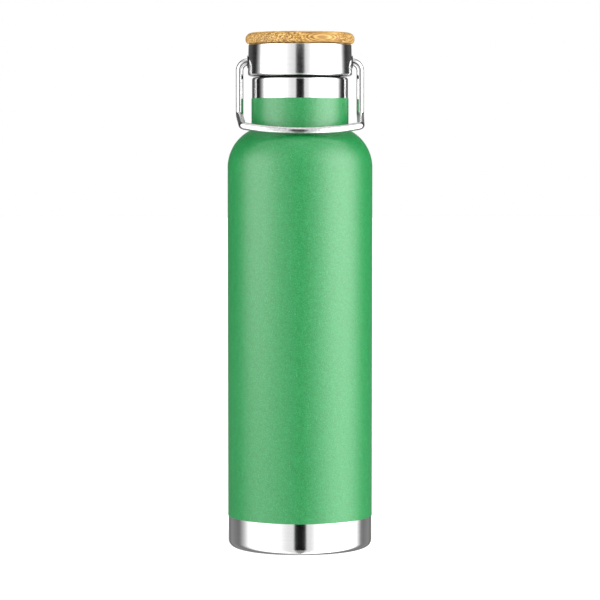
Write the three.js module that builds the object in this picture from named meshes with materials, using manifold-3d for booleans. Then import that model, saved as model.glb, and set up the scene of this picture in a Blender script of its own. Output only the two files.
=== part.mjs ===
// Vacuum flask: a double-walled steel bottle, powder coated between a bare foot and a bare mouth, with a
// screw-in lid that carries a bamboo top and a swinging wire bail.
// Millimetres, +Z up. The flask's axis is the Z axis and the foot stands on z = 0.

import * as THREE from 'three';
import { mergeVertices } from 'three/addons/utils/BufferGeometryUtils.js';
import Module from 'manifold-3d';

const wasm = await Module();
wasm.setup();

// ---- Driving dimensions -------------------------------------------------------------------------------

// Bottle, outside
const bodyRadius = 36.5;         // over the powder coat
const sideHeight = 192;          // foot to the top of the straight side
const shoulderRadius = 21;       // convex arc of the shoulder, over the coat
const neckFillet = 1.8;          // concave blend between shoulder and neck, on the steel
const neckRadius = 24.2;         // steel neck
const neckRise = 45.2;           // top of the straight side to the rim of the mouth
const shellWall = 0.45;
const footCorner = 3.5;          // outer radius of the foot's rounded corner
const footWidth = 2.2;           // flat ring the flask stands on
const footFlange = 3.2;          // height of the upturned edge inside the foot ring
const coatThickness = 0.2;
const coatStart = 15.9;          // the coat begins this high above the foot
const bareNeck = 10.5;           // bare steel below the rim

// Bottle, inside
const vacuumGap = 2.75;          // between the walls of the body
const mouthGap = 1.5;            // between the walls of the neck
const linerWall = 0.35;
const seatWidth = 3.3;           // ledge that the seal ring presses on
const throatFillet = 2;
const lipThickness = 1.3;        // rolled rim over the top of the outer neck
const lipCorner = 1.2;
const linerFloor = 10.5;         // underside of the liner above the foot
const linerCorner = 3;
const linerDish = 2;             // how far the liner's floor rises in the middle
const linerSeam = 3.5;           // side wall that is part of the liner's floor pressing
const foilThickness = 0.1;
const foilGap = 0.3;             // liner to foil
const foilStart = 16;
const foilEndGap = 2;            // below the shoulder
const vacuumBaseHeight = 5;      // underside of the plate that closes the vacuum
const plateThickness = 0.5;
const plateRim = 3;              // height of that plate's upturned rim
const sealHole = 1.5;            // hole that the air is drawn out through
const beadRadius = 3;
const beadDepth = 1.6;
const coverRecess = 1.6;         // the foot's cover sits this far above the ground
const getterRadius = 5;
const getterThickness = 1.2;
const getterOffset = 14;         // from the axis
const clipThickness = 0.3;
const clipWidth = 6;
const clipHook = 2;              // how far each hook reaches over the getter
const clipGap = 0.3;             // getter to clip, all round

// Thread between mouth and plug
const threadLead = 5;
const threadTurns = 1.5;
const threadDepth = 1.2;
const threadRoot = 1.7;          // width of a ridge at the wall
const threadCrest = 0.8;
const threadClearance = 0.4;     // crest to wall, all round
const threadTop = 3.2;           // rim to the middle of the mouth thread's upper end
const threadBite = 0.3;          // how deep a ridge runs into its own wall
const threadRunout = 1.55;       // plain plug between its thread and the seal ring

// Seal ring and plug
const sealThickness = 2.5;
const sealWidth = 2.8;
const sealEdge = 0.5;
const lipOverlap = 0.6;          // how far the plug's lower lip holds the seal ring
const lipHeight = 1.1;
const throatClearance = 0.7;
const plugWall = 2.3;
const floorThickness = 1.5;
const floorInset = 0.3;
const foamClearance = 0.3;

// Lid
const lidGap = 0.7;              // rim of the mouth to the underside of the cap
const capHeight = 16.1;
const capOverhang = 2.05;        // lower edge of the cap beyond the neck
const capTaper = 0.3;            // smaller at the top by this much
const capWall = 0.4;
const capLowerCorner = 1.2;
const capUpperCorner = 1;
const coreClearance = 0.15;
const coreTopWall = 2.4;
const bambooOverhang = 1.2;      // widest place beyond the cap's lower edge
const bambooThickness = 5.5;
const bambooWidestBelowTop = 3.3;
const bambooEdge = 3.2;          // how far the rounded edge reaches in on top
const bambooTuck = 1.05;         // smaller at the bottom by this much
const glueMargin = 5.45;         // adhesive to the bamboo's widest place
const glueThickness = 0.25;

// Bail
const wireDiameter = 3.75;
const pivotHeight = 7.1;         // above the lower edge of the cap
const pinInset = 6.6;            // how far a pin reaches in from the cap's side
const legClearance = 1.075;      // between a leg and the bamboo's widest place
const legDrop = 26.7;            // pivot to the corner where the leg turns forward
const bowGap = 5.8;              // middle of the bow to the steel neck behind it
const bowRadius = 50;            // large curve of the bow
const bowCorner = 3.2;           // small curve at each end of the bow
const bowTaper = 0.9;            // each side closes in by this much between leg and bow
const pinBend = 4.4;             // centre-line radius where a pin turns down into its leg
const legBend = 2.4;             // centre-line radius where a leg turns forward
const bowClearance = 0.55;       // bow to shoulder when it hangs
const pinClearance = 0.12;
const bushWall = 0.6;
const bushFlange = 0.6;          // how far the flange reaches beyond the hole
const bushFlangeThickness = 0.3;
const bushLength = 3.6;
const bushClearance = 0.1;

const chamfer = 0.3;             // on the small edges of lid, plug and getter
const seam = 0.05;               // between pieces turned about one axis that lie against each other
const segments = 32;             // facets round the flask, shared by every turned piece

// ---- Sizes that follow --------------------------------------------------------------------------------

const shellRadius = bodyRadius - coatThickness - seam;
const shoulderCentre = bodyRadius - shoulderRadius;
const linerRadius = shellRadius - shellWall - vacuumGap;
const mouthRadius = neckRadius - shellWall - mouthGap;
const mouthBore = mouthRadius - linerWall;
const throatBore = mouthBore - seatWidth;
const threadReach = threadTop + threadLead * (threadTurns + 0.5) + threadRoot / 2;
const seatDepth = threadReach + threadRunout + sealThickness + 2 * seam;
const rimZ = sideHeight + neckRise;
const seatZ = rimZ - seatDepth;
const lidZ = rimZ + lidGap;
const capRadius = neckRadius + capOverhang;
const bambooRadius = capRadius + bambooOverhang;
const plugCrest = mouthBore - threadClearance;
const plugRadius = plugCrest - threadDepth;
const lipRadius = throatBore - throatClearance;
const bossRadius = lipRadius - lipOverlap;
const hollowRadius = bossRadius - plugWall;
const wireRadius = wireDiameter / 2;
const bowReach = neckRadius + bowGap;
const legX = bambooRadius + legClearance + wireRadius;
const holeRadius = wireRadius + pinClearance + bushWall + bushClearance;
const pivotCapRadius = capRadius - capTaper * pivotHeight / capHeight;

// ---- Outlines: lists of [radius, height] --------------------------------------------------------------

function oval(radius, height, across, up, fromDegrees, toDegrees, steps) {
  return Array.from({ length: steps + 1 }, (_, i) => {
    const angle = THREE.MathUtils.degToRad(fromDegrees + (toDegrees - fromDegrees) * i / steps);
    return [radius + across * Math.cos(angle), height + up * Math.sin(angle)];
  });
}

function round(radius, height, size, fromDegrees, toDegrees, steps) {
  return oval(radius, height, size, size, fromDegrees, toDegrees, steps);
}

// Straight side, convex shoulder and concave neck blend of one wall, from bottom to top. Every surface of
// the wall is this outline at its own offset, so all of them share the two arc centres.
function wallOutline({ side, neck, fillet, bottom, top, offset }) {
  const convex = side - shoulderCentre;
  const blendRadius = neck + fillet;
  const rise = Math.sqrt((convex + fillet) ** 2 - (blendRadius - shoulderCentre) ** 2);
  const turn = THREE.MathUtils.radToDeg(Math.atan2(rise, blendRadius - shoulderCentre));
  return [
    [side + offset, bottom],
    ...round(shoulderCentre, sideHeight, convex + offset, 0, turn, 7),
    ...round(blendRadius, sideHeight + rise, fillet - offset, turn + 180, 180, 2).slice(1),
    [neck + offset, top],
  ];
}

const shellOutline = (bottom, top, offset) => wallOutline(
  { side: shellRadius, neck: neckRadius, fillet: neckFillet, bottom, top, offset });

const linerOutline = (bottom, top, offset) => wallOutline(
  { side: linerRadius, neck: throatBore + linerWall, fillet: throatFillet, bottom, top, offset });

// ---- Geometry helpers ---------------------------------------------------------------------------------

// Turns an outline about the Z axis. It starts and ends on the axis, or is closed here.
function turned(outline, facets = segments) {
  const points = outline.map(([radius, height]) => new THREE.Vector2(radius, height));
  if (outline[0][0] > 0) points.push(points[0].clone());
  if (THREE.ShapeUtils.area(points) < 0) points.reverse();
  return new THREE.LatheGeometry(points, facets).rotateX(Math.PI / 2);
}

// A path that is a list of stations, each with its own normal and binormal.
class Route extends THREE.Curve {
  constructor(stations) {
    super();
    this.stations = stations;
  }

  getSpacedPoints() {
    return this.stations.map((station) => station.point);
  }

  computeFrenetFrames() {
    return {
      tangents: this.stations.map((station) => station.tangent),
      normals: this.stations.map((station) => station.normal),
      binormals: this.stations.map((station) => station.binormal),
    };
  }
}

function swept(section, stations) {
  const shape = new THREE.Shape(section.map(([x, y]) => new THREE.Vector2(x, y)));
  return new THREE.ExtrudeGeometry(shape, { steps: stations.length - 1, extrudePath: new Route(stations) });
}

// Stations along a bent wire, with a section that doesn't twist.
function wireStations(points) {
  let normal = new THREE.Vector3(0, 1, 0);
  return points.map((point, i) => {
    const before = points[Math.max(i - 1, 0)];
    const after = points[Math.min(i + 1, points.length - 1)];
    const tangent = after.clone().sub(before).normalize();
    normal = normal.clone().addScaledVector(tangent, -normal.dot(tangent)).normalize();
    return { point, tangent, normal, binormal: tangent.clone().cross(normal) };
  });
}

function solid(geometry) {
  const bare = geometry.clone();
  bare.deleteAttribute('normal');
  bare.deleteAttribute('uv');
  const merged = mergeVertices(bare);
  const corners = merged.index.array;
  const triangles = [];
  for (let i = 0; i < corners.length; i += 3) {
    const [a, b, c] = [corners[i], corners[i + 1], corners[i + 2]];
    if (a !== b && b !== c && c !== a) triangles.push(a, b, c);
  }
  return new wasm.Manifold(new wasm.Mesh({
    numProp: 3,
    vertProperties: new Float32Array(merged.attributes.position.array),
    triVerts: new Uint32Array(triangles),
  }));
}

function geometryOf(manifold) {
  const { vertProperties, triVerts } = manifold.getMesh();
  const geometry = new THREE.BufferGeometry();
  geometry.setAttribute('position', new THREE.BufferAttribute(vertProperties, 3));
  geometry.setIndex(new THREE.BufferAttribute(triVerts, 1));
  return geometry;
}

// A turned piece laid along +X or -X (side is 1 or -1) at a height.
function across(geometry, side, height) {
  return geometry.rotateY(side * Math.PI / 2).translate(0, 0, height);
}

// A cylinder along X from one distance to another, on one side of the axis.
function drill(radius, from, to, side, height) {
  return solid(across(turned([[0, from], [radius, from], [radius, to], [0, to]], 20), side, height));
}

// Helical ridge on a wall. It stands inwards in the mouth (toward is -1) and outwards on the plug (1), and
// sinks into the wall at both ends.
function threadRidge(wall, middle, toward) {
  const stepsPerTurn = segments;
  const steps = Math.round(threadTurns * stepsPerTurn);
  const fadeSteps = 3;
  const stations = Array.from({ length: steps + 1 }, (_, i) => {
    const angle = 2 * Math.PI * i / stepsPerTurn;
    const fade = Math.max(0, 1 - Math.min(i, steps - i) / fadeSteps);
    const radius = wall - toward * threadDepth * fade;
    const height = middle + threadLead * (i / stepsPerTurn - threadTurns / 2);
    const normal = new THREE.Vector3(Math.cos(angle), Math.sin(angle), 0);
    return {
      point: normal.clone().multiplyScalar(radius).setZ(height),
      tangent: new THREE.Vector3(-Math.sin(angle), Math.cos(angle), 0),
      normal,
      binormal: new THREE.Vector3(0, 0, -1),
    };
  });
  const root = -toward * threadBite;
  const crest = toward * threadDepth;
  const section = [
    [root, -threadRoot / 2], [root, threadRoot / 2], [crest, threadCrest / 2], [crest, -threadCrest / 2],
  ];
  return solid(swept(section, stations));
}

// ---- Materials ----------------------------------------------------------------------------------------

function finish(color, roughness, metalness) {
  return new THREE.MeshStandardMaterial({ color, roughness, metalness });
}

const polishedSteel = finish(0xc9cccd, 0.25, 1);
const steelWire = finish(0xd2d4d5, 0.2, 1);
const greenCoat = finish(0x3ca561, 0.5, 0);
const bamboo = finish(0xdeb26e, 0.5, 0);
const copper = finish(0xc07a4f, 0.4, 1);
const innerSteel = finish(0xb3b6b8, 0.4, 1);
const getterMetal = finish(0x6f6a66, 0.6, 1);
const sealGlass = finish(0x8a8f8a, 0.3, 0);
const greyPlastic = finish(0x3a3d40, 0.5, 0);
const palePlastic = finish(0xd9dad6, 0.6, 0);
const silicone = finish(0xe8e8e4, 0.6, 0);
const foam = finish(0xf2f0ea, 0.9, 0);
const glue = finish(0xd8d2bd, 0.7, 0);

// ---- Bottle -------------------------------------------------------------------------------------------

function outerShell() {
  const bottom = coatStart + seam;
  const top = rimZ - lipThickness - seam;
  return turned([...shellOutline(bottom, top, 0), ...shellOutline(bottom, top, -shellWall).reverse()]);
}

// The bare band at the bottom: a pressed cup with the foot ring, welded to the shell under the coat's edge.
function footCup() {
  const cornerRadius = shellRadius - footCorner;
  const footInner = cornerRadius - footWidth;
  const flangeInner = footInner - shellWall;
  return turned([
    [flangeInner, footFlange],
    [flangeInner, shellWall],
    ...round(footInner, shellWall, shellWall, 180, 270, 2).slice(1),
    ...round(cornerRadius, footCorner, footCorner, 270, 360, 4),
    [shellRadius, coatStart],
    [shellRadius - shellWall, coatStart],
    ...round(cornerRadius, footCorner, footCorner - shellWall, 360, 270, 3),
    [footInner, shellWall],
    [footInner, footFlange],
  ]);
}

function powderCoat() {
  const top = rimZ - bareNeck;
  return turned([
    ...shellOutline(coatStart, top, seam + coatThickness),
    ...shellOutline(coatStart, top, seam).reverse(),
  ]);
}

function liner() {
  const bottom = linerFloor + linerSeam + seam;
  return turned([
    ...linerOutline(bottom, seatZ - linerWall, 0),
    [mouthRadius, seatZ - linerWall],
    [mouthRadius, seatZ],
    ...linerOutline(bottom, seatZ, -linerWall).reverse(),
  ]);
}

// Threaded ring on the liner's seat, with the rolled rim that closes the vacuum at the top.
function mouthRing() {
  const lipUnderside = rimZ - lipThickness;
  const ring = turned([
    [mouthBore, seatZ + seam],
    [mouthRadius, seatZ + seam],
    [mouthRadius, lipUnderside],
    [neckRadius, lipUnderside],
    ...round(neckRadius - lipCorner, rimZ - lipCorner, lipCorner, 0, 90, 4),
    [mouthBore + linerWall, rimZ],
    [mouthBore, rimZ - linerWall],
  ]);
  const middle = rimZ - threadTop - threadLead * threadTurns / 2;
  return geometryOf(solid(ring).add(threadRidge(mouthBore, middle, -1)));
}

function linerBase() {
  const top = linerFloor + linerSeam;
  const cornerRadius = linerRadius - linerCorner;
  const cornerHeight = linerFloor + linerCorner;
  return turned([
    [0, linerFloor + linerDish],
    [cornerRadius / 2, linerFloor + linerDish * 0.75],
    ...round(cornerRadius, cornerHeight, linerCorner, 270, 360, 4),
    [linerRadius, top],
    [linerRadius - linerWall, top],
    ...round(cornerRadius, cornerHeight, linerCorner - linerWall, 360, 270, 4),
    [cornerRadius / 2, linerFloor + linerDish * 0.75 + linerWall],
    [0, linerFloor + linerDish + linerWall],
  ]);
}

function copperFoil() {
  const inner = linerRadius + foilGap;
  const outer = inner + foilThickness;
  const end = sideHeight - foilEndGap;
  return turned([[inner, foilStart], [outer, foilStart], [outer, end], [inner, end]]);
}

function vacuumBase() {
  const outer = shellRadius - shellWall - seam;
  const top = vacuumBaseHeight + plateThickness;
  return turned([
    [sealHole, vacuumBaseHeight],
    [outer, vacuumBaseHeight],
    [outer, vacuumBaseHeight + plateRim],
    [outer - plateThickness, vacuumBaseHeight + plateRim],
    [outer - plateThickness, top],
    [sealHole, top],
  ]);
}

function sealBead() {
  const top = vacuumBaseHeight - seam;
  return turned([
    ...oval(0, top, beadRadius, beadDepth, 270, 360, 4),
    [sealHole - seam, top],
    [sealHole - seam, vacuumBaseHeight + plateThickness],
    [0, vacuumBaseHeight + plateThickness],
  ], 20);
}

function baseCover() {
  const outer = shellRadius - footCorner - footWidth - shellWall - seam;
  const inner = outer - plateThickness;
  const top = coverRecess + plateThickness;
  return turned([
    [0, coverRecess],
    [inner, coverRecess],
    ...round(inner, top, plateThickness, 270, 360, 2).slice(1),
    [outer, footFlange],
    [inner, footFlange],
    [inner, top],
    [0, top],
  ]);
}

// The getter and its clip lie on the plate that closes the vacuum, to one side of the sealed hole.
function getter() {
  return turned([
    [0, 0],
    [getterRadius - chamfer, 0],
    [getterRadius, chamfer],
    [getterRadius, getterThickness],
    [0, getterThickness],
  ], 24);
}

function getterClip() {
  const half = getterRadius + clipGap;
  const outer = half + clipThickness;
  const under = getterThickness + 2 * clipGap;
  const height = under + clipThickness;
  const profile = new THREE.Shape([
    [-outer, -clipThickness], [outer, -clipThickness], [outer, height - clipThickness],
    [half - clipHook, height - clipThickness], [half - clipHook, under - clipThickness],
    [half, under - clipThickness], [half, 0], [-half, 0], [-half, under - clipThickness],
    [-half + clipHook, under - clipThickness], [-half + clipHook, height - clipThickness],
    [-outer, height - clipThickness],
  ].map(([x, y]) => new THREE.Vector2(x, y)));
  const strap = new THREE.ExtrudeGeometry(profile, { depth: clipWidth, bevelEnabled: false });
  return strap.translate(0, 0, -clipWidth / 2).rotateX(Math.PI / 2);
}

// ---- Seal ring, from the seat up ----------------------------------------------------------------------

function sealRing() {
  const inner = bossRadius + 2 * seam;
  const outer = inner + sealWidth;
  const top = seam + sealThickness;
  return turned([
    [inner, seam + sealEdge], [inner + sealEdge, seam], [outer - sealEdge, seam], [outer, seam + sealEdge],
    [outer, top - sealEdge], [outer - sealEdge, top], [inner + sealEdge, top], [inner, top - sealEdge],
  ]);
}

// ---- Lid, from the lower edge of the cap up -----------------------------------------------------------

function lidShell() {
  const curl = capRadius - capLowerCorner;
  const topRadius = capRadius - capTaper;
  const crown = topRadius - capUpperCorner;
  const shell = turned([
    [0, capHeight - capWall],
    ...round(crown, capHeight - capUpperCorner, capUpperCorner - capWall, 90, 0, 2),
    ...round(curl, capLowerCorner, capLowerCorner - capWall, 360, 270, 3),
    ...round(curl, capLowerCorner, capLowerCorner, 270, 360, 4),
    ...round(crown, capHeight - capUpperCorner, capUpperCorner, 0, 90, 3),
    [0, capHeight],
  ]);
  const holes = [1, -1].map((side) => drill(holeRadius, curl - 3, capRadius + 2, side, pivotHeight));
  return geometryOf(holes.reduce((body, hole) => body.subtract(hole), solid(shell)));
}

function lidCore() {
  const seat = seatZ - lidZ;
  const ringTop = seat + seam + sealThickness + seam;
  const flange = capRadius - capLowerCorner - coreClearance;
  const inside = capRadius - capWall - coreClearance;
  const top = capHeight - capWall - coreClearance;
  const core = turned([
    [0, top - coreTopWall],
    [hollowRadius, top - coreTopWall],
    [hollowRadius, seat - lipHeight],
    [lipRadius - chamfer, seat - lipHeight],
    [lipRadius, seat - lipHeight + chamfer],
    [lipRadius, seat - seam],
    [bossRadius, seat - seam],
    [bossRadius, ringTop],
    [plugRadius, ringTop],
    [plugRadius, seam],
    [flange, seam],
    [flange, capLowerCorner - 2 * coreClearance],
    [inside, capLowerCorner + 2 * coreClearance],
    [inside - capTaper, top - capUpperCorner],
    [inside - capTaper - capUpperCorner, top],
    [0, top],
  ]);
  const middle = rimZ - lidZ - threadTop - threadLead * (threadTurns + 1) / 2;
  const pinEnd = pivotCapRadius - pinInset;
  const sockets = [1, -1].flatMap((side) => [
    drill(wireRadius + pinClearance, pinEnd - coreClearance, capRadius, side, pivotHeight),
    drill(holeRadius, pivotCapRadius - bushLength - bushClearance, capRadius, side, pivotHeight),
  ]);
  const threaded = solid(core).add(threadRidge(plugRadius, middle, 1));
  return geometryOf(sockets.reduce((body, socket) => body.subtract(socket), threaded));
}

function plugFloor() {
  const bottom = seatZ - lidZ - lipHeight + floorInset;
  const outer = hollowRadius - seam;
  const top = bottom + floorThickness;
  return turned([[0, bottom], [outer - chamfer, bottom], [outer, bottom + chamfer], [outer, top], [0, top]]);
}

function foamPuck() {
  const bottom = seatZ - lidZ - lipHeight + floorInset + floorThickness + seam;
  const top = capHeight - capWall - coreClearance - coreTopWall - foamClearance;
  const outer = hollowRadius - foamClearance;
  return turned([[0, bottom], [outer, bottom], [outer, top], [0, top]]);
}

function adhesiveDisc() {
  const bottom = capHeight + seam;
  const outer = bambooRadius - glueMargin - seam;
  return turned([[0, bottom], [outer, bottom], [outer, bottom + glueThickness], [0, bottom + glueThickness]]);
}

function bambooDisc() {
  const bottom = capHeight + seam;
  const top = bottom + bambooThickness;
  const widest = top - bambooWidestBelowTop;
  const edgeCentre = bambooRadius - bambooEdge;
  const recess = bambooRadius - glueMargin;
  const tuckAngle = THREE.MathUtils.radToDeg(Math.acos(1 - bambooTuck / bambooEdge));
  const below = (widest - bottom) / Math.sin(THREE.MathUtils.degToRad(tuckAngle));
  return turned([
    [0, bottom + glueThickness + seam],
    [recess, bottom + glueThickness + seam],
    [recess, bottom],
    ...oval(edgeCentre, widest, bambooEdge, below, -tuckAngle, 0, 3),
    ...oval(edgeCentre, widest, bambooEdge, bambooWidestBelowTop, 0, 90, 5).slice(1),
    [0, top],
  ]);
}

function pivotBush(side) {
  const bore = wireRadius + pinClearance;
  const outer = bore + bushWall;
  const start = pivotCapRadius - bushLength;
  const face = pivotCapRadius + bushClearance;
  const bush = turned([
    [bore, start], [outer, start], [outer, face], [outer + bushFlange, face],
    [outer + bushFlange, face + bushFlangeThickness], [bore, face + bushFlangeThickness],
  ], 20);
  return across(bush, side, pivotHeight);
}

// ---- Bail, from its pivot axis ------------------------------------------------------------------------

// The bow hangs in front of the neck, just clear of the shoulder. The corner below each leg is as far below
// the pivot as legDrop says, and the bow's plane slopes from there to where the shoulder lets it rest.
function handleWire() {
  const pivotZ = lidZ + pivotHeight;
  const restDistance = shoulderRadius + bowClearance + wireRadius;
  const restRise = Math.sqrt(restDistance ** 2 - (bowReach - shoulderCentre) ** 2);
  const drop = pivotZ - legDrop - (sideHeight + restRise);
  const reach = Math.hypot(bowReach, drop);
  const [forward, down] = [bowReach / reach, drop / reach];
  const onBow = ([x, u]) => new THREE.Vector3(x, -u * forward, -legDrop - u * down);

  const turn = Math.PI / 2 - Math.asin(down);
  const tangentLength = legBend * Math.tan(turn / 2);
  const turnDegrees = THREE.MathUtils.radToDeg(turn);
  const cornerX = legX - bowTaper - bowCorner;
  const bowCentre = reach - bowRadius;
  const cornerU = bowCentre + Math.sqrt((bowRadius - bowCorner) ** 2 - cornerX ** 2);
  const cornerAngle = THREE.MathUtils.radToDeg(Math.atan2(cornerU - bowCentre, cornerX));
  const lean = THREE.MathUtils.radToDeg(Math.atan2(bowTaper, cornerU));

  const half = [
    new THREE.Vector3(pivotCapRadius - pinInset, 0, 0),
    ...round(legX - pinBend, -pinBend, pinBend, 90, 0, 5).map(([x, z]) => new THREE.Vector3(x, 0, z)),
    ...round(legBend, -legDrop + tangentLength, legBend, 180, 180 + turnDegrees, 5)
      .map(([v, z]) => new THREE.Vector3(legX, -v, z)),
    ...round(cornerX, cornerU, bowCorner, lean, cornerAngle, 4).map(onBow),
    ...round(0, bowCentre, bowRadius, cornerAngle, 90, 6).slice(1).map(onBow),
  ];
  const mirrored = half.slice(0, -1).reverse().map((point) => point.clone().setX(-point.x));
  const sides = 12;
  const section = round(0, 0, wireRadius, 0, 360, sides).slice(0, -1);
  return swept(section, wireStations([...half, ...mirrored]));
}

// ---- Assembly -----------------------------------------------------------------------------------------

function add(parent, name, geometry, material) {
  const mesh = new THREE.Mesh(geometry, material);
  mesh.name = name;
  parent.add(mesh);
  return mesh;
}

const group = new THREE.Group();

const bottle = new THREE.Group();
group.add(bottle);
add(bottle, 'outer_shell', outerShell(), polishedSteel);
add(bottle, 'foot_cup', footCup(), polishedSteel);
add(bottle, 'powder_coat', powderCoat(), greenCoat);
add(bottle, 'liner', liner(), polishedSteel);
add(bottle, 'mouth_ring', mouthRing(), polishedSteel);
add(bottle, 'liner_base', linerBase(), innerSteel);
add(bottle, 'copper_foil', copperFoil(), copper);
add(bottle, 'vacuum_base', vacuumBase(), innerSteel);
add(bottle, 'seal_bead', sealBead(), sealGlass);
add(bottle, 'base_cover', baseCover(), polishedSteel);

const getterSeat = new THREE.Group();
getterSeat.position.set(getterOffset, 0, vacuumBaseHeight + plateThickness + seam + clipThickness);
bottle.add(getterSeat);
add(getterSeat, 'getter_clip', getterClip(), innerSteel);
add(getterSeat, 'getter', getter(), getterMetal).position.z = clipGap;

const seal = new THREE.Group();
seal.position.z = seatZ;
group.add(seal);
add(seal, 'seal_ring', sealRing(), silicone);

const lid = new THREE.Group();
lid.position.z = lidZ;
group.add(lid);
add(lid, 'lid_shell', lidShell(), polishedSteel);
add(lid, 'lid_core', lidCore(), greyPlastic);
add(lid, 'plug_floor', plugFloor(), palePlastic);
add(lid, 'foam_puck', foamPuck(), foam);
add(lid, 'adhesive_disc', adhesiveDisc(), glue);
add(lid, 'bamboo_disc', bambooDisc(), bamboo);
add(lid, 'pivot_bush_right', pivotBush(1), greyPlastic);
add(lid, 'pivot_bush_left', pivotBush(-1), greyPlastic);

const handle = new THREE.Group();
handle.position.z = pivotHeight;
lid.add(handle);
add(handle, 'handle_wire', handleWire(), steelWire);

export default group;
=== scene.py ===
"""Looks of a steel vacuum flask: powder-coated body, bare foot and mouth, screw lid, bamboo top, wire bail.

Metres, +Z up, the flask's axis is the Z axis and its front faces -Y.
"""
import math

import bmesh
import bpy
from mathutils import Matrix, Vector


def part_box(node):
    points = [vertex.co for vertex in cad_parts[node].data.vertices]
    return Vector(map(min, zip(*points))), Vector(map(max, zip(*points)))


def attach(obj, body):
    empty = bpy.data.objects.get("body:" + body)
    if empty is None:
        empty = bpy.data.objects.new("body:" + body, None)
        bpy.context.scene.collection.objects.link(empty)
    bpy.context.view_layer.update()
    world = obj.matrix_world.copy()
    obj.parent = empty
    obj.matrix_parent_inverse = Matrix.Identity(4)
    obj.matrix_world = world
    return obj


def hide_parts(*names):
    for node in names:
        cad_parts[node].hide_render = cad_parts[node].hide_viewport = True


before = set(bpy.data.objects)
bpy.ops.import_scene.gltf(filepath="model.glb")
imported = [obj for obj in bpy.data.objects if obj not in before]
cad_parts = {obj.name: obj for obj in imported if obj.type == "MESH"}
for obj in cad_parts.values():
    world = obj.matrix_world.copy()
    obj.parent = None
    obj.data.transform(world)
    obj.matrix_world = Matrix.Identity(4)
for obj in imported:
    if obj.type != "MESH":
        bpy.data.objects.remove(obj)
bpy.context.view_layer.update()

MM = 0.001
TURN = 2 * math.pi
Z_AXIS = Vector((0, 0, 1))

# ---- Sizes ---------------------------------------------------------------------------------------------


def span(node):
    """Lowest height, highest height and outer radius of a piece turned about the axis."""
    low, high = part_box(node)
    return low.z, high.z, high.x


coat_bottom, coat_top, body_radius = span("powder_coat")
_, _, steel_radius = span("outer_shell")
_, shell_seam, _ = span("foot_cup")
seat_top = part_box("liner")[1].z
liner_bottom, _, liner_radius = span("liner")
_, rim_top, neck_radius = span("mouth_ring")
ring_bottom, ring_top, ring_radius = span("seal_ring")
cap_bottom, cap_top, cap_radius = span("lid_shell")
plug_bottom, core_top, core_radius = span("lid_core")
floor_bottom, floor_top, floor_radius = span("plug_floor")
bamboo_bottom, bamboo_top_height, bamboo_radius = span("bamboo_disc")
cover_bottom, cover_top, cover_radius = span("base_cover")
bush_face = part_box("pivot_bush_right")[1].x
pivot_height = (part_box("pivot_bush_right")[0].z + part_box("pivot_bush_right")[1].z) / 2
leg_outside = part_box("handle_wire")[1].x

SHOULDER_RADIUS = 21 * MM            # convex arc of the shoulder, over the coat
SIDE_HEIGHT = 192 * MM               # foot to the top of the straight side
NECK_FILLET = 1.8 * MM
FOOT_CORNER = 3.5 * MM
FOOT_WIDTH = 2.2 * MM
FOOT_FLANGE = 3.2 * MM
SHELL_WALL = 0.45 * MM
LINER_WALL = 0.35 * MM
LIP_THICKNESS = 1.3 * MM
LIP_CORNER = 1.2 * MM
SEAT_WIDTH = 3.3 * MM
MOUTH_GAP = 1.5 * MM                 # between the two walls of the neck
THROAT_FILLET = 2 * MM
THREAD_LEAD = 5 * MM
THREAD_TURNS = 1.5
THREAD_DEPTH = 1.2 * MM
THREAD_ROOT = 1.7 * MM
THREAD_CREST = 0.8 * MM
THREAD_CLEARANCE = 0.4 * MM
THREAD_TOP = 3.2 * MM                # rim to the middle of the mouth thread's upper end
LIP_OVERLAP = 0.6 * MM
THROAT_CLEARANCE = 0.7 * MM
PLUG_WALL = 2.3 * MM
CORE_TOP_WALL = 2.4 * MM
CORE_CLEARANCE = 0.15 * MM           # between the lid's core and the steel cap round it
SEAM = 0.05 * MM                     # between turned pieces that lie against each other
CAP_TAPER = 0.3 * MM
CAP_WALL = 0.4 * MM
CAP_LOWER_CORNER = 1.2 * MM
CAP_UPPER_CORNER = 1 * MM
BAMBOO_WIDEST = 3.3 * MM             # below the top
BAMBOO_EDGE = 3.2 * MM
BAMBOO_TUCK = 1.05 * MM
GLUE_MARGIN = 5.45 * MM
GLUE_RECESS = 0.3 * MM
WIRE_RADIUS = 1.875 * MM
LEG_DROP = 26.7 * MM
BOW_RADIUS = 50 * MM
BOW_CORNER = 3.2 * MM
BOW_TAPER = 0.9 * MM
BOW_GAP = 5.8 * MM
BOW_CLEARANCE = 0.55 * MM
PIN_BEND = 4.4 * MM
LEG_BEND = 2.4 * MM
PIN_INSET = 6.6 * MM
PIN_CLEARANCE = 0.12 * MM
BUSH_WALL = 0.6 * MM
BUSH_FLANGE = 0.6 * MM
BUSH_LENGTH = 3.6 * MM
BUSH_CLEARANCE = 0.1 * MM

shoulder_centre = body_radius - SHOULDER_RADIUS
mouth_radius = neck_radius - SHELL_WALL - MOUTH_GAP
mouth_bore = mouth_radius - LINER_WALL
throat_bore = mouth_bore - SEAT_WIDTH
plug_radius = mouth_bore - THREAD_CLEARANCE - THREAD_DEPTH
plug_lip = throat_bore - THROAT_CLEARANCE
plug_boss = plug_lip - LIP_OVERLAP
leg_x = leg_outside - WIRE_RADIUS
pivot_cap_radius = cap_radius - CAP_TAPER * (pivot_height - cap_bottom) / (cap_top - cap_bottom)
pin_hole = WIRE_RADIUS + PIN_CLEARANCE + BUSH_WALL + BUSH_CLEARANCE

FINE = 192                           # facets round a large turned piece
MEDIUM = 96                          # facets round a small one
MERGE = 1e-7                         # points closer than this are one point

# ---- Modelling helpers ---------------------------------------------------------------------------------


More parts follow.
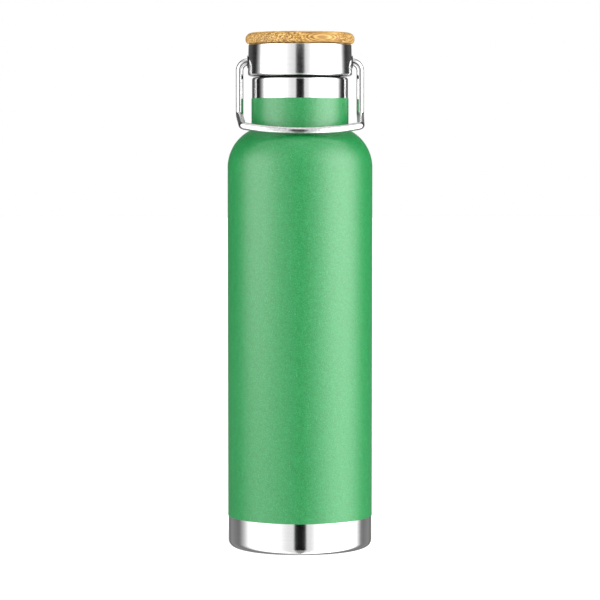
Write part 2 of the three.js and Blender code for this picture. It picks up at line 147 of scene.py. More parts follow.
def oval(radius, height, across, up, start, stop, steps):
    """Points of part of an ellipse in an outline, from one angle to another in degrees."""
    angles = [math.radians(start + (stop - start) * i / steps) for i in range(steps + 1)]
    return [(radius + across * math.cos(a), height + up * math.sin(a)) for a in angles]


def arc(radius, height, size, start, stop, steps):
    return oval(radius, height, size, size, start, stop, steps)


def wall_outline(side, neck, fillet, bottom, top, offset):
    """Straight side, convex shoulder and concave neck blend of one wall, from bottom to top."""
    convex = side - shoulder_centre
    blend = neck + fillet
    rise = math.sqrt((convex + fillet) ** 2 - (blend - shoulder_centre) ** 2)
    turn = math.degrees(math.atan2(rise, blend - shoulder_centre))
    return [
        (side + offset, bottom),
        *arc(shoulder_centre, SIDE_HEIGHT, convex + offset, 0, turn, 28),
        *arc(blend, SIDE_HEIGHT + rise, fillet - offset, turn + 180, 180, 8)[1:],
        (neck + offset, top),
    ]


def finished(name, bm, smooth_angle=40):
    """Makes the object of a finished bmesh, shaded smooth but for its sharp edges."""
    bmesh.ops.recalc_face_normals(bm, faces=bm.faces)
    mesh = bpy.data.meshes.new(name)
    bm.to_mesh(mesh)
    bm.free()
    mesh.shade_smooth()
    mesh.set_sharp_from_angle(angle=math.radians(smooth_angle))
    piece = bpy.data.objects.new(name, mesh)
    bpy.context.scene.collection.objects.link(piece)
    return piece


def lathe(outline, facets=FINE):
    """A bmesh turned about the Z axis from an outline of (radius, height) points."""
    bm = bmesh.new()
    points = [bm.verts.new((radius, 0, height)) for radius, height in outline]
    edges = [bm.edges.new(pair) for pair in zip(points, points[1:])]
    if outline[0][0] > 0:
        edges.append(bm.edges.new((points[-1], points[0])))
    bmesh.ops.spin(
        bm, geom=points + edges, cent=(0, 0, 0), axis=Z_AXIS, dvec=(0, 0, 0),
        angle=TURN, steps=facets, use_merge=True, use_duplicate=False,
    )
    bmesh.ops.remove_doubles(bm, verts=bm.verts, dist=MERGE)
    return bm


def turned(name, outline, facets=FINE):
    return finished(name, lathe(outline, facets))


def thread_ridge(bm, wall, middle, toward):
    """Adds a helical ridge to a wall: inwards in the mouth (toward is -1), outwards on the plug (1).

    Its height fades to nothing at both ends."""
    bite = 0.3 * MM
    level = bm.verts.layers.float.new("level")
    half_length = THREAD_LEAD * THREAD_TURNS / 2
    section = [
        (wall - toward * bite, -THREAD_ROOT / 2), (wall - toward * bite, THREAD_ROOT / 2),
        (wall, THREAD_ROOT / 2), (wall + toward * THREAD_DEPTH * 0.85, THREAD_CREST / 2 + 0.1 * MM),
        (wall + toward * THREAD_DEPTH, THREAD_CREST / 2 - 0.1 * MM),
        (wall + toward * THREAD_DEPTH, 0.1 * MM - THREAD_CREST / 2),
        (wall + toward * THREAD_DEPTH * 0.85, -THREAD_CREST / 2 - 0.1 * MM), (wall, -THREAD_ROOT / 2),
    ]
    points = [bm.verts.new((radius, 0, middle - half_length + height)) for radius, height in section]
    for point, (_, height) in zip(points, section):
        point[level] = height
    face = bm.faces.new(points)
    steps = round(MEDIUM * THREAD_TURNS)
    before = set(bm.verts) - set(points)
    bmesh.ops.spin(
        bm, geom=[face, *face.edges, *points], cent=(0, 0, 0), axis=Z_AXIS,
        dvec=(0, 0, 2 * half_length / steps), angle=TURN * THREAD_TURNS, steps=steps, use_duplicate=False,
    )
    for point in set(bm.verts) - before:
        along = (point.co.z - point[level] - middle + half_length) / THREAD_LEAD * TURN
        from_end = min(along, TURN * THREAD_TURNS - along)
        fade = min(1, max(0, from_end / math.radians(35)))
        radius = math.hypot(point.co.x, point.co.y)
        beyond = (radius - wall) * toward
        if beyond > 0:
            scale = (wall + toward * beyond * (fade * (2 - fade))) / radius
            point.co.x *= scale
            point.co.y *= scale


def along_x(bm, side, height):
    """Lays a bmesh turned about Z along +X or -X, at a height."""
    quarter = Matrix.Rotation(side * math.pi / 2, 3, "Y")
    bmesh.ops.rotate(bm, verts=bm.verts, cent=(0, 0, 0), matrix=quarter)
    bmesh.ops.translate(bm, verts=bm.verts, vec=(0, 0, height))
    return bm


def drilled(piece, holes):
    """Cuts (radius, from, to) cylinders along +X and -X out of a piece at the height of the pivot."""
    for radius, start, stop in holes:
        for side in (1, -1):
            outline = [(0, start), (radius, start), (radius, stop), (0, stop)]
            cutter = finished("cutter", along_x(lathe(outline, MEDIUM), side, pivot_height))
            cut = piece.modifiers.new("hole", "BOOLEAN")
            cut.operation = "DIFFERENCE"
            cut.solver = "EXACT"
            cut.object = cutter
            graph = bpy.context.evaluated_depsgraph_get()
            mesh = bpy.data.meshes.new_from_object(piece.evaluated_get(graph))
            piece.modifiers.clear()
            piece.data = mesh
            bpy.data.objects.remove(cutter)
    piece.data.set_sharp_from_angle(angle=math.radians(40))
    return piece


# ---- Shader maths --------------------------------------------------------------------------------------


class Signal:
    """A node's output, so that shader maths reads as arithmetic."""

    def __init__(self, tree, socket):
        self.tree = tree
        self.socket = socket

    def math(self, operation, *values):
        return self.node("ShaderNodeMath", {"operation": operation}, dict(enumerate(values)))

    def node(self, kind, settings=None, inputs=None, output=0):
        """Any node: its type, its settings, and the values or links of its sockets."""
        made = self.tree.nodes.new(kind)
        for key, value in (settings or {}).items():
            if key == "stops":
                ramp = made.color_ramp
                while len(ramp.elements) < len(value):
                    ramp.elements.new(0.5)
                for element, (position, colour) in zip(ramp.elements, value):
                    element.position = position
                    element.color = (*colour, 1)
            else:
                setattr(made, key, value)
        for key, value in (inputs or {}).items():
            if isinstance(value, Signal):
                self.tree.links.new(value.socket, made.inputs[key])
            elif isinstance(value, tuple) and made.inputs[key].type == "RGBA":
                made.inputs[key].default_value = (*value, 1)
            else:
                made.inputs[key].default_value = value
        return Signal(self.tree, made.outputs[output])

    def __add__(self, other):
        return self.math("ADD", self, other)

    __radd__ = __add__

    def __sub__(self, other):
        return self.math("SUBTRACT", self, other)

    def __rsub__(self, other):
        return self.math("SUBTRACT", other, self)

    def __mul__(self, other):
        return self.math("MULTIPLY", self, other)

    __rmul__ = __mul__

    def __truediv__(self, other):
        return self.math("DIVIDE", self, other)

    def axes(self):
        """The X, Y and Z of a vector."""
        split = self.node("ShaderNodeSeparateXYZ", inputs={0: self})
        return [Signal(self.tree, output) for output in split.socket.node.outputs]

    def vector(self, x, y, z):
        return self.node("ShaderNodeCombineXYZ", inputs={0: x, 1: y, 2: z})

    def stretched(self, x, y, z):
        """This vector with each axis scaled."""
        return self.node("ShaderNodeVectorMath", {"operation": "MULTIPLY"}, {0: self, 1: (x, y, z)})

    def noise(self, scale, detail=2.0, roughness=0.5, distortion=0.0):
        return self.node("ShaderNodeTexNoise", inputs={
            "Vector": self, "Scale": scale, "Detail": detail, "Roughness": roughness,
            "Distortion": distortion})

    def between(self, low, high, start=0.0, stop=1.0):
        """Maps this value smoothly from low..high to start..stop."""
        return self.node("ShaderNodeMapRange", {"interpolation_type": "SMOOTHSTEP"}, {
            "Value": self, "From Min": low, "From Max": high, "To Min": start, "To Max": stop})

    def mix(self, first, second):
        """Blends two colours by this value."""
        return self.node("ShaderNodeMix", {"data_type": "RGBA"}, {0: self, 6: first, 7: second}, output=2)


class Finish:
    """A material under construction: its object coordinates and its shader."""

    def __init__(self, name, **constants):
        self.material = bpy.data.materials.new(name)
        self.material.use_nodes = True
        tree = self.material.node_tree
        self.shader = tree.nodes["Principled BSDF"]
        self.tree = tree
        self.place = Signal(tree, tree.nodes.new("ShaderNodeTexCoord").outputs["Object"])
        for key, value in constants.items():
            socket = self.shader.inputs[key.replace("_", " ")]
            socket.default_value = (*value, 1) if isinstance(value, tuple) and len(value) == 3 else value

    def drive(self, name, signal):
        self.tree.links.new(signal.socket, self.shader.inputs[name])

    def bump(self, height, distance):
        """Height is in units of the distance, which is in metres."""
        self.drive("Normal", self.place.node("ShaderNodeBump", inputs={
            "Height": height, "Distance": distance, "Strength": 1.0}))
        return self


# ---- Finishes ------------------------------------------------------------------------------------------


def brushed_steel(name, tint, roughness, line_scale=2600, depth=0.004 * MM):
    """Bare stainless steel, brushed round the axis: fine lines that run round the flask."""
    steel = Finish(name, Metallic=1.0)
    lines = steel.place.stretched(0.02, 0.02, 1).noise(line_scale, 4, 0.65)
    cloud = steel.place.noise(45, 2)
    steel.drive("Roughness", roughness + (lines - 0.5) * 0.07 + (cloud - 0.5) * 0.03)
    shade = lines.between(0.2, 0.8)
    steel.drive("Base Color", shade.mix(tuple(c * 0.93 for c in tint), tint))
    return steel.bump(lines, depth).material


def wire_steel():
    """Drawn round wire, tumbled bright: a little of the satin skin is left under the polish."""
    steel = Finish("steel_wire", Metallic=1.0)
    drawn = steel.place.noise(900, 3)
    steel.drive("Roughness", 0.15 + (drawn - 0.5) * 0.10)
    steel.drive("Base Color", drawn.between(0.3, 0.7).mix((0.58, 0.58, 0.59), (0.73, 0.73, 0.73)))
    return steel.bump(drawn, 0.002 * MM).material


def pressed_steel():
    """Electropolished pressings inside the flask."""
    steel = Finish("inner_steel", Metallic=1.0)
    cloud = steel.place.noise(300, 4)
    steel.drive("Roughness", 0.30 + (cloud - 0.5) * 0.12)
    steel.drive("Base Color", cloud.between(0.3, 0.7).mix((0.55, 0.56, 0.57), (0.66, 0.67, 0.68)))
    return steel.bump(cloud, 0.004 * MM).material


def powder_green():
    """Semi-gloss powder coat: a fine even grain, with tiny lighter and darker specks."""
    coat = Finish("green_powder_coat", IOR=1.5, Specular_IOR_Level=0.8)
    grain = coat.place.noise(2100, 2, 0.6)
    peel = coat.place.noise(650, 2)
    speck = coat.place.noise(2600, 1)
    shade = (grain * 0.8 + peel * 0.2).between(0.30, 0.70)
    colour = shade.mix((0.001, 0.153, 0.028), (0.009, 0.267, 0.064))
    coat.drive("Base Color", speck.between(0.60, 0.74).mix(colour, (0.036, 0.34, 0.12)))
    coat.drive("Roughness", 0.37 + (grain - 0.5) * 0.22)
    return coat.bump(grain * 0.75 + peel * 0.25, 0.055 * MM).material


def oiled_bamboo():
    """Bamboo strips glued side by side, oiled.

    The fibres run along one level direction, so the rim cuts them into specks, and into long ovals where it
    runs along them. The top shows them lengthways, lighter and calmer."""
    wood = Finish("bamboo", IOR=1.48)
    grain_angle = math.radians(22)
    strip_width = 6.2 * MM
    x, y, z = wood.place.axes()
    along = x * math.cos(grain_angle) + y * math.sin(grain_angle)
    across = y * math.cos(grain_angle) - x * math.sin(grain_angle)
    level = z - (bamboo_bottom + 0.52 * (bamboo_top_height - bamboo_bottom))
    fibres = wood.place.vector(along * 0.05, across, z).noise(1700, 3, 0.65)
    streaks = wood.place.vector(along * 0.04, across, z * 0.6).noise(330, 3, 0.55, 0.3)
    patches = wood.place.vector(along * 0.4, across, z).noise(60, 2)
    flat = (0 - across).between(0.88 * bamboo_radius, 0.985 * bamboo_radius)
    layers = across + level * level * 130 + (patches - 0.5) * 0.0016 + (streaks - 0.5) * 0.0004
    rings = wood.place.math("SINE", layers * (TURN / (0.62 * MM))) * 0.5 + 0.5

    strip = wood.place.math("FLOOR", across / strip_width)
    tone = wood.place.node("ShaderNodeTexWhiteNoise", {"noise_dimensions": "1D"}, {"W": strip})
    other = wood.place.node("ShaderNodeTexWhiteNoise", {"noise_dimensions": "1D"}, {"W": strip + 7.5})
    from_joint = wood.place.math("PINGPONG", across, strip_width / 2)
    joint = from_joint.between(0.02 * MM, 0.16 * MM, 1, 0)
    knuckle_place = along - (other - 0.5) * 110 * MM + (streaks - 0.5) * 1.5 * MM
    knuckle = wood.place.math("ABSOLUTE", knuckle_place).between(0.3 * MM, 1.6 * MM, 1, 0)

    top = z.between(bamboo_top_height - 1.3 * MM, bamboo_top_height - 0.1 * MM)
    value = 0.44 + top * 0.055 + (fibres - 0.5) * (2.5 - flat * 1.7) * (1 - top * 0.60)
    value = value + (streaks - 0.5) * (0.40 - top * 0.12)
    value = value + (rings - 0.5) * (0.04 + flat * 0.24) + (patches - 0.5) * 0.22 + flat * 0.03
    value = value + (tone - 0.5) * 0.07 - joint * 0.07 - knuckle * 0.10
    wood.drive("Base Color", value.node("ShaderNodeValToRGB", {"stops": [
        (0.28, (0.20, 0.086, 0.014)), (0.40, (0.35, 0.178, 0.035)), (0.49, (0.49, 0.275, 0.060)),
        (0.60, (0.62, 0.378, 0.100)), (0.73, (0.73, 0.510, 0.205))]}, {0: value}))
    wood.drive("Roughness", 0.50 - (value - 0.5) * 0.25)
    return wood.bump(fibres * 0.7 + streaks * 0.3 - joint * 0.3, 0.06 * MM).material


def moulded(name, dark, light, roughness, scale=1100, depth=0.01 * MM, **constants):
    """Moulded plastic or rubber with a fine matt grain."""
    plastic = Finish(name, **constants)
    grain = plastic.place.noise(scale, 3)
    cloud = plastic.place.noise(90, 2)
    plastic.drive("Base Color", (grain * 0.6 + cloud * 0.4).between(0.35, 0.65).mix(dark, light))
    plastic.drive("Roughness", roughness + (grain - 0.5) * 0.15)
    return plastic.bump(grain, depth).material


def crumpled_foil():
    """Thin copper foil, drawn tight round the liner, with long soft creases."""
    foil = Finish("copper_foil", Metallic=1.0)
    creases = foil.place.stretched(1, 1, 0.25).noise(160, 4, 0.6, 0.6)
    foil.drive("Roughness", 0.26 + (creases - 0.5) * 0.2)
    foil.drive("Base Color", creases.between(0.3, 0.7).mix((0.62, 0.29, 0.16), (0.80, 0.44, 0.28)))
    return foil.bump(creases, 0.25 * MM).material


finishes = {
    "polished_steel": brushed_steel("polished_steel", (0.80, 0.80, 0.80), 0.115),
    "cap_steel": brushed_steel("cap_steel", (0.80, 0.80, 0.80), 0.155),
    "steel_wire": wire_steel(),
    "inner_steel": pressed_steel(),
    "green_powder_coat": powder_green(),
    "bamboo": oiled_bamboo(),
    "copper_foil": crumpled_foil(),
    "getter_metal": moulded("getter_metal", (0.10, 0.095, 0.09), (0.20, 0.19, 0.18), 0.55, 1800,
                            0.03 * MM, Metallic=0.8),
    "seal_glass": moulded("seal_glass", (0.14, 0.15, 0.15), (0.22, 0.24, 0.23), 0.2, 400, 0.01 * MM),
    "silicone": moulded("silicone", (0.70, 0.70, 0.68), (0.80, 0.80, 0.78), 0.45, 900, 0.006 * MM),
    "lid_plastic": moulded("lid_plastic", (0.010, 0.010, 0.011), (0.020, 0.020, 0.022), 0.42),
    "plug_plastic": moulded("plug_plastic", (0.58, 0.58, 0.56), (0.68, 0.68, 0.66), 0.4),
    "foam": moulded("foam", (0.70, 0.69, 0.64), (0.86, 0.85, 0.81), 0.85, 1500, 0.15 * MM),
    "adhesive": moulded("adhesive", (0.55, 0.50, 0.36), (0.70, 0.65, 0.50), 0.45, 500),
}


def dress(piece, slot):
    """Gives a piece its finish and names the slot it comes from."""
    piece.data.materials.clear()
    piece.data.materials.append(finishes[slot])
    return piece


def fit(piece, body, node, slot):
    """Puts a new piece in the place of a CAD node."""
    dress(piece, slot)
    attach(piece, body)
    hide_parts(node)
    return piece


# ---- Bottle --------------------------------------------------------------------------------------------


def shell_outline(bottom, top, offset):
    return wall_outline(steel_radius, neck_radius, NECK_FILLET, bottom, top, offset)


def outer_shell():
    bottom, top = shell_seam + 0.02 * MM, rim_top - LIP_THICKNESS
    outside = shell_outline(bottom, top, 0)
    inside = shell_outline(bottom, top, -SHELL_WALL)
    return turned("flask_shell", outside + inside[::-1])


def foot_cup():
    corner = steel_radius - FOOT_CORNER
    foot_inner = corner - FOOT_WIDTH
    flange_inner = foot_inner - SHELL_WALL
    return turned("foot_band", [
        (flange_inner, FOOT_FLANGE),
        *arc(foot_inner, SHELL_WALL, SHELL_WALL, 180, 270, 6),
        *arc(corner, FOOT_CORNER, FOOT_CORNER, 270, 360, 20),
        (steel_radius, shell_seam),
        (steel_radius - SHELL_WALL, shell_seam),
        *arc(corner, FOOT_CORNER, FOOT_CORNER - SHELL_WALL, 360, 270, 12),
        (foot_inner, SHELL_WALL),
        (foot_inner, FOOT_FLANGE),
    ])


def powder_coat():
    """The coat's two edges thin out over a small round, as sprayed powder does against a mask."""
    skin = body_radius - steel_radius
    edge = 0.12 * MM
    outside = shell_outline(coat_bottom + edge, coat_top - edge, skin)
    inside = shell_outline(coat_bottom, coat_top, -0.04 * MM)
    lower = arc(steel_radius + skin - edge, coat_bottom + edge, edge, 270, 360, 5)
    upper = arc(neck_radius + skin - edge, coat_top - edge, edge, 0, 90, 5)
    return turned("green_coat", lower[:-1] + outside + upper[1:] + inside[::-1])


def flask_liner():
    throat = throat_bore + LINER_WALL

    def outline(offset):
        return wall_outline(liner_radius, throat, THROAT_FILLET, liner_bottom, seat_top, offset)

    outside = outline(0)[:-1] + [(throat, seat_top - LINER_WALL), (mouth_radius, seat_top - LINER_WALL)]
    inside = [(mouth_radius, seat_top)] + outline(-LINER_WALL)[::-1]
    return turned("flask_liner", outside + inside)


def mouth_ring():
    lip_under = rim_top - LIP_THICKNESS
    inner_corner = 0.5 * MM
    foot = seat_top + SEAM
    bm = lathe([
        (mouth_bore, foot),
        (mouth_radius, foot),
        (mouth_radius, lip_under),
        (neck_radius, lip_under),
        *arc(neck_radius - LIP_CORNER, rim_top - LIP_CORNER, LIP_CORNER, 0, 90, 10),
        *arc(mouth_bore + inner_corner, rim_top - inner_corner, inner_corner, 90, 180, 6),
    ])
    thread_ridge(bm, mouth_bore, rim_top - THREAD_TOP - THREAD_LEAD * THREAD_TURNS / 2, -1)
    return finished("mouth_ring_threaded", bm)


def base_cover():
    """Pressed disc in the foot ring, with a shallow raised ring."""
    wall = 0.5 * MM
    inner = cover_radius - wall
    step = 0.35 * MM
    ring_outside, ring_inside = inner * 0.78, inner * 0.70
    lower = [
        (0, cover_bottom), (ring_inside - 2 * step, cover_bottom),
        (ring_inside, cover_bottom + step), (ring_outside, cover_bottom + step),
        (ring_outside + 2 * step, cover_bottom), (inner, cover_bottom),
    ]
    upper = [(radius, height + wall) for radius, height in lower[::-1]]
    corner = arc(inner, cover_bottom + wall, wall, 270, 360, 5)[1:]
    rim = corner + [(cover_radius, cover_top), (inner, cover_top)]
    return turned("foot_cover", lower + rim + upper)


# ---- Seal ring and lid ---------------------------------------------------------------------------------


def seal_ring():
    inner = plug_boss + 0.1 * MM
    corner = 0.55 * MM
    return turned("seal_ring_soft", [
        *arc(inner + corner, ring_bottom + corner, corner, 180, 270, 5),
        *arc(ring_radius - corner, ring_bottom + corner, corner, 270, 360, 5),
        *arc(ring_radius - corner, ring_top - corner, corner, 0, 90, 5),
        *arc(inner + corner, ring_top - corner, corner, 90, 180, 5),
    ], MEDIUM)


def lid_cap():
    curl = cap_radius - CAP_LOWER_CORNER
    crown = cap_radius - CAP_TAPER - CAP_UPPER_CORNER
    lower, upper = cap_bottom + CAP_LOWER_CORNER, cap_top - CAP_UPPER_CORNER
    cap = turned("cap_shell", [
        (0, cap_top - CAP_WALL),
        *arc(crown, upper, CAP_UPPER_CORNER - CAP_WALL, 90, 0, 6),
        *arc(curl, lower, CAP_LOWER_CORNER - CAP_WALL, 360, 270, 6),
        *arc(curl, lower, CAP_LOWER_CORNER, 270, 360, 12),
        *arc(crown, upper, CAP_UPPER_CORNER, 0, 90, 8),
        (0, cap_top),
    ])
    return drilled(cap, [(pin_hole, curl - 3 * MM, cap_radius + 2 * MM)])


def lid_plug():
    clearance = CORE_CLEARANCE
    hollow = plug_boss - PLUG_WALL
    flange = cap_radius - CAP_LOWER_CORNER - clearance
    ceiling = core_top - CORE_TOP_WALL
    shelf = ring_top + SEAM
    small, soft = 0.3 * MM, 0.6 * MM
    inside = core_radius
    bm = lathe([
        (0, ceiling),
        (hollow, ceiling),
        (hollow, plug_bottom),
        *arc(plug_lip - small, plug_bottom + small, small, 270, 360, 4),
        (plug_lip, seat_top - SEAM),
        (plug_boss, seat_top - SEAM),
        (plug_boss, shelf),
        *arc(plug_radius - small, shelf + small, small, 270, 360, 4),
        (plug_radius, cap_bottom - soft),
        *arc(plug_radius + soft, cap_bottom + SEAM - soft, soft, 180, 90, 5),
        (flange, cap_bottom + SEAM),
        (flange, cap_bottom + CAP_LOWER_CORNER - 2 * clearance),
        (inside, cap_bottom + CAP_LOWER_CORNER + 2 * clearance),
        (inside - CAP_TAPER, core_top - CAP_UPPER_CORNER),
        (inside - CAP_TAPER - CAP_UPPER_CORNER, core_top),
        (0, core_top),
    ])
    middle = rim_top - THREAD_TOP - THREAD_LEAD * (THREAD_TURNS + 1) / 2
    # Known fault: this ridge is not in the finished piece, whose wall comes out plain.
    thread_ridge(bm, plug_radius, middle, 1)
    plug = finished("lid_plug", bm)
    pin_end = pivot_cap_radius - PIN_INSET
    return drilled(plug, [
        (WIRE_RADIUS + PIN_CLEARANCE, pin_end - clearance, cap_radius),
        (pin_hole, pivot_cap_radius - BUSH_LENGTH - BUSH_CLEARANCE, cap_radius),
    ])


def plug_floor():
    """Snap-in floor of the plug, with a shallow dish and a moulding mark in the middle."""
    corner = 0.4 * MM
    dish = 0.35 * MM
    return turned("plug_floor_disc", [
        (0, floor_bottom + dish + 0.15 * MM), (1.2 * MM, floor_bottom + dish + 0.15 * MM),
        (1.4 * MM, floor_bottom + dish), (floor_radius - 3 * MM, floor_bottom + dish),
        (floor_radius - 2.4 * MM, floor_bottom),
        *arc(floor_radius - corner, floor_bottom + corner, corner, 270, 360, 5),
        (floor_radius, floor_top), (0, floor_top),
    ], MEDIUM)


def bamboo_top():
    widest = bamboo_top_height - BAMBOO_WIDEST
    edge = bamboo_radius - BAMBOO_EDGE
    tuck = math.degrees(math.acos(1 - BAMBOO_TUCK / BAMBOO_EDGE))
    below = (widest - bamboo_bottom) / math.sin(math.radians(tuck))
    recess = bamboo_radius - GLUE_MARGIN
    foot_round = 0.5 * MM
    foot = bamboo_radius - BAMBOO_TUCK
    return turned("bamboo_top", [
        (0, bamboo_bottom + GLUE_RECESS),
        (recess, bamboo_bottom + GLUE_RECESS),
        (recess, bamboo_bottom),
        (foot - 2 * foot_round, bamboo_bottom),
        (foot - 0.7 * foot_round, bamboo_bottom + 0.12 * foot_round),
        *oval(edge, widest, BAMBOO_EDGE, below, 6 - tuck, 0, 10),
        *oval(edge, widest, BAMBOO_EDGE, BAMBOO_WIDEST, 0, 90, 16)[1:],
        (0, bamboo_top_height),
    ])


def pivot_bush(side, name):
    bore = WIRE_RADIUS + PIN_CLEARANCE
    outer = bore + BUSH_WALL
    face = pivot_cap_radius + BUSH_CLEARANCE
    soft = 0.12 * MM
    return finished(name, along_x(lathe([
        (bore, pivot_cap_radius - BUSH_LENGTH),
        (outer, pivot_cap_radius - BUSH_LENGTH),
        (outer, face),
        (outer + BUSH_FLANGE, face),
        *arc(outer + BUSH_FLANGE - soft, bush_face - soft, soft, 0, 90, 4),
        *arc(bore + soft, bush_face - soft, soft, 90, 180, 4),
    ], MEDIUM), side, pivot_height))


# ---- Bail ----------------------------------------------------------------------------------------------


def bail():
    """One bent wire: pins, legs, a corner forward at the foot of each leg, and a wide bow in front."""
    reach_out = neck_radius + BOW_GAP
    rest = SHOULDER_RADIUS + BOW_CLEARANCE + WIRE_RADIUS
    apex = SIDE_HEIGHT + math.sqrt(rest ** 2 - (reach_out - shoulder_centre) ** 2)
    drop = pivot_height - LEG_DROP - apex
    reach = math.hypot(reach_out, drop)
    forward, down = reach_out / reach, drop / reach

    def on_bow(point):
        x, out = point
        return Vector((x, -out * forward, pivot_height - LEG_DROP - out * down))

    turn = math.pi / 2 - math.asin(down)
    tangent = LEG_BEND * math.tan(turn / 2)
    corner_x = leg_x - BOW_TAPER - BOW_CORNER
    centre = reach - BOW_RADIUS
    corner_out = centre + math.sqrt((BOW_RADIUS - BOW_CORNER) ** 2 - corner_x ** 2)
    corner_angle = math.degrees(math.atan2(corner_out - centre, corner_x))
    lean = math.degrees(math.atan2(BOW_TAPER, corner_out))
    pin_end = pivot_cap_radius - PIN_INSET
    half = [Vector((pin_end, 0, pivot_height))]
    for x, z in arc(leg_x - PIN_BEND, pivot_height - PIN_BEND, PIN_BEND, 90, 0, 16):
        half.append(Vector((x, 0, z)))
    kink = arc(LEG_BEND, pivot_height - LEG_DROP + tangent, LEG_BEND, 180, 180 + math.degrees(turn), 14)
    half += [Vector((leg_x, -out, z)) for out, z in kink]
    half += [on_bow(point) for point in arc(corner_x, corner_out, BOW_CORNER, lean, corner_angle, 12)]
    half += [on_bow(point) for point in arc(0, centre, BOW_RADIUS, corner_angle, 90, 22)[1:]]
    path = half + [Vector((-p.x, p.y, p.z)) for p in half[-2::-1]]

    curve = bpy.data.curves.new("bail_path", "CURVE")
    curve.dimensions = "3D"
    curve.bevel_depth = WIRE_RADIUS
    curve.bevel_resolution = 8
    curve.use_fill_caps = True
    spline = curve.splines.new("POLY")
    spline.points.add(len(path) - 1)
    for point, place in zip(spline.points, path):
        point.co = (*place, 1)
    holder = bpy.data.objects.new("bail_path", curve)
    bpy.context.scene.collection.objects.link(holder)
    graph = bpy.context.evaluated_depsgraph_get()
    bm = bmesh.new()
    bm.from_mesh(bpy.data.meshes.new_from_object(holder.evaluated_get(graph)))
    bpy.data.objects.remove(holder)
    bmesh.ops.remove_doubles(bm, verts=bm.verts, dist=MERGE)
    return finished("bail_wire", bm)


# ---- Assembly ------------------------------------------------------------------------------------------

fit(outer_shell(), "bottle", "outer_shell", "polished_steel")
fit(foot_cup(), "bottle", "foot_cup", "polished_steel")
fit(powder_coat(), "bottle", "powder_coat", "green_powder_coat")
fit(flask_liner(), "bottle", "liner", "polished_steel")
fit(mouth_ring(), "bottle", "mouth_ring", "polished_steel")
fit(base_cover(), "bottle", "base_cover", "polished_steel")
fit(seal_ring(), "seal", "seal_ring", "silicone")
fit(lid_cap(), "lid", "lid_shell", "cap_steel")
fit(lid_plug(), "lid", "lid_core", "lid_plastic")
fit(plug_floor(), "lid", "plug_floor", "plug_plastic")
fit(bamboo_top(), "lid", "bamboo_disc", "bamboo")
fit(pivot_bush(1, "bush_right"), "lid", "pivot_bush_right", "lid_plastic")
fit(pivot_bush(-1, "bush_left"), "lid", "pivot_bush_left", "lid_plastic")
fit(bail(), "handle", "handle_wire", "steel_wire")

kept = {
    "liner_base": "inner_steel",
    "copper_foil": "copper_foil",
    "vacuum_base": "inner_steel",
    "seal_bead": "seal_glass",
    "getter_clip": "inner_steel",
    "getter": "getter_metal",
    "foam_puck": "foam",
    "adhesive_disc": "adhesive",
}
for node, slot in kept.items():
    dress(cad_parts[node], slot)

# ---- Studio --------------------------------------------------------------------------------------------

CAMERA_TURN = math.radians(-2.3)     # towards -X
CAMERA_DISTANCE = 1.33
CAMERA_HEIGHT = 0.2035
AIM_HEIGHT = 0.125
LENS = 158
SENSOR_WIDTH = 36
LIGHT_AIM = 0.18


def turned_about(direction, distance, height):
    """A place at an angle from the camera's side of the flask, positive towards +X."""
    angle = CAMERA_TURN + direction
    return Vector((distance * math.sin(angle), -distance * math.cos(angle), height))


def aimed(thing, place, target):
    thing.location = place
    thing.rotation_euler = (Vector(target) - place).to_track_quat("-Z", "Y").to_euler()
    bpy.context.scene.collection.objects.link(thing)
    return thing


def camera():
    lens = bpy.data.cameras.new("camera")
    lens.lens = LENS
    lens.sensor_width = SENSOR_WIDTH
    lens.clip_start, lens.clip_end = 0.05, 50
    view = aimed(bpy.data.objects.new("camera", lens), turned_about(0, CAMERA_DISTANCE, CAMERA_HEIGHT),
                 (0, 0, AIM_HEIGHT))
    bpy.context.scene.camera = view


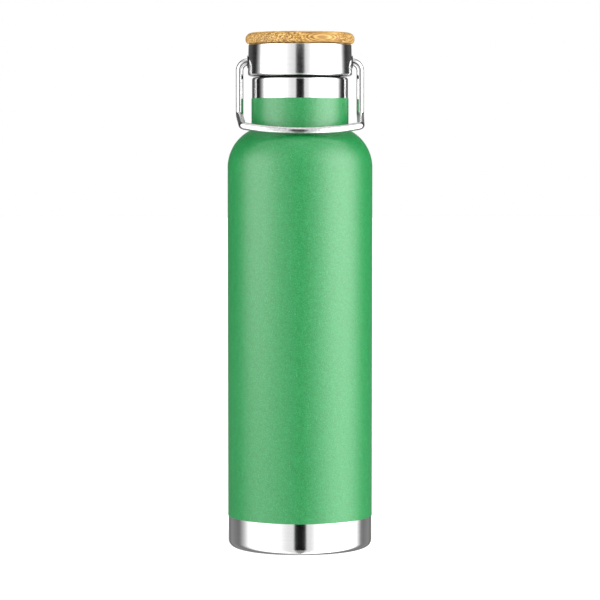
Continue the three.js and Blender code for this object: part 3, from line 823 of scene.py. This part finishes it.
def surroundings():
    """Tall white studio walls to the left and right, with a dark gap behind the camera, a narrow strip at the
    back and a soft ceiling. Angles are in degrees from the camera's side, positive to the right.

    The backdrop itself reads as plain white."""
    world = bpy.data.worlds.new("studio")
    world.use_nodes = True
    bpy.context.scene.world = world
    tree = world.node_tree
    background = tree.nodes["Background"]
    background.inputs["Color"].default_value = (1, 1, 1, 1)
    way = Signal(tree, tree.nodes.new("ShaderNodeTexCoord").outputs["Generated"])
    degrees = 180 / math.pi
    x, y, z = way.axes()
    side = x * math.cos(CAMERA_TURN) + y * math.sin(CAMERA_TURN)
    front = x * math.sin(CAMERA_TURN) - y * math.cos(CAMERA_TURN)
    angle = way.math("ARCTAN2", side, front) * degrees
    rise = way.math("ARCSINE", z) * degrees
    around = way.math("ABSOLUTE", angle)
    wall = 0.98 + around.between(14, 42) * 0.25
    right = angle.between(8.6, 11.2) * angle.between(74, 124, 1, 0) * wall
    left = angle.between(-7.9, -10.5) * angle.between(-72, -118, 1, 0) * wall
    glow = angle.between(15, 60) * angle.between(80, 118, 1, 0) * 2.7
    glow = glow + angle.between(-18, -60) * angle.between(-80, -116, 1, 0) * 0.8
    table = rise.between(-3, -9) * around.between(96, 112) * around.between(140, 170, 1, 0) * 0.20
    back = around.between(112, 150) * 0.10 + around.between(162, 172) * 0.5
    gap = 1 - angle.between(9, 14) - angle.between(-8, -13)
    bridge = gap * (rise.between(5, 15) + rise.between(-20, -34)) * 0.30
    walls = (right + left + glow + table + back) * rise.between(40, 58, 1, 0)
    light = 0.006 + walls + bridge + rise.between(42, 68) * 1.15
    plain = way.node("ShaderNodeLightPath", output="Is Camera Ray")
    strength = light * (1 - plain) + plain
    tree.links.new(strength.socket, background.inputs["Strength"])


def softbox(name, direction, distance, height, size, power):
    light = bpy.data.lights.new(name, "AREA")
    light.shape = "RECTANGLE"
    light.size, light.size_y = size
    light.energy = power
    place = turned_about(math.radians(direction), distance, height)
    box = aimed(bpy.data.objects.new(name, light), place, (0, 0, LIGHT_AIM))
    box.visible_camera = False


def floor():
    bm = bmesh.new()
    bmesh.ops.create_grid(bm, x_segments=1, y_segments=1, size=6)
    plane = finished("floor", bm)
    pale = Finish("pale_floor", Roughness=0.9, Specular_IOR_Level=0.1)
    pale.shader.inputs["Emission Strength"].default_value = 0.35
    pale.shader.inputs["Emission Color"].default_value = (1, 1, 1, 1)
    cloud = pale.place.noise(3, 2)
    pale.drive("Base Color", cloud.mix((0.88, 0.88, 0.88), (0.90, 0.90, 0.90)))
    plane.data.materials.append(pale.material)
    plane.visible_glossy = False


camera()
surroundings()
floor()
softbox("softbox_right", 66, 0.8, 0.30, (0.86, 0.56), 1.9)
softbox("softbox_left", -68, 0.8, 0.30, (0.80, 0.56), 2.2)
bpy.context.scene.view_settings.view_transform = "Standard"
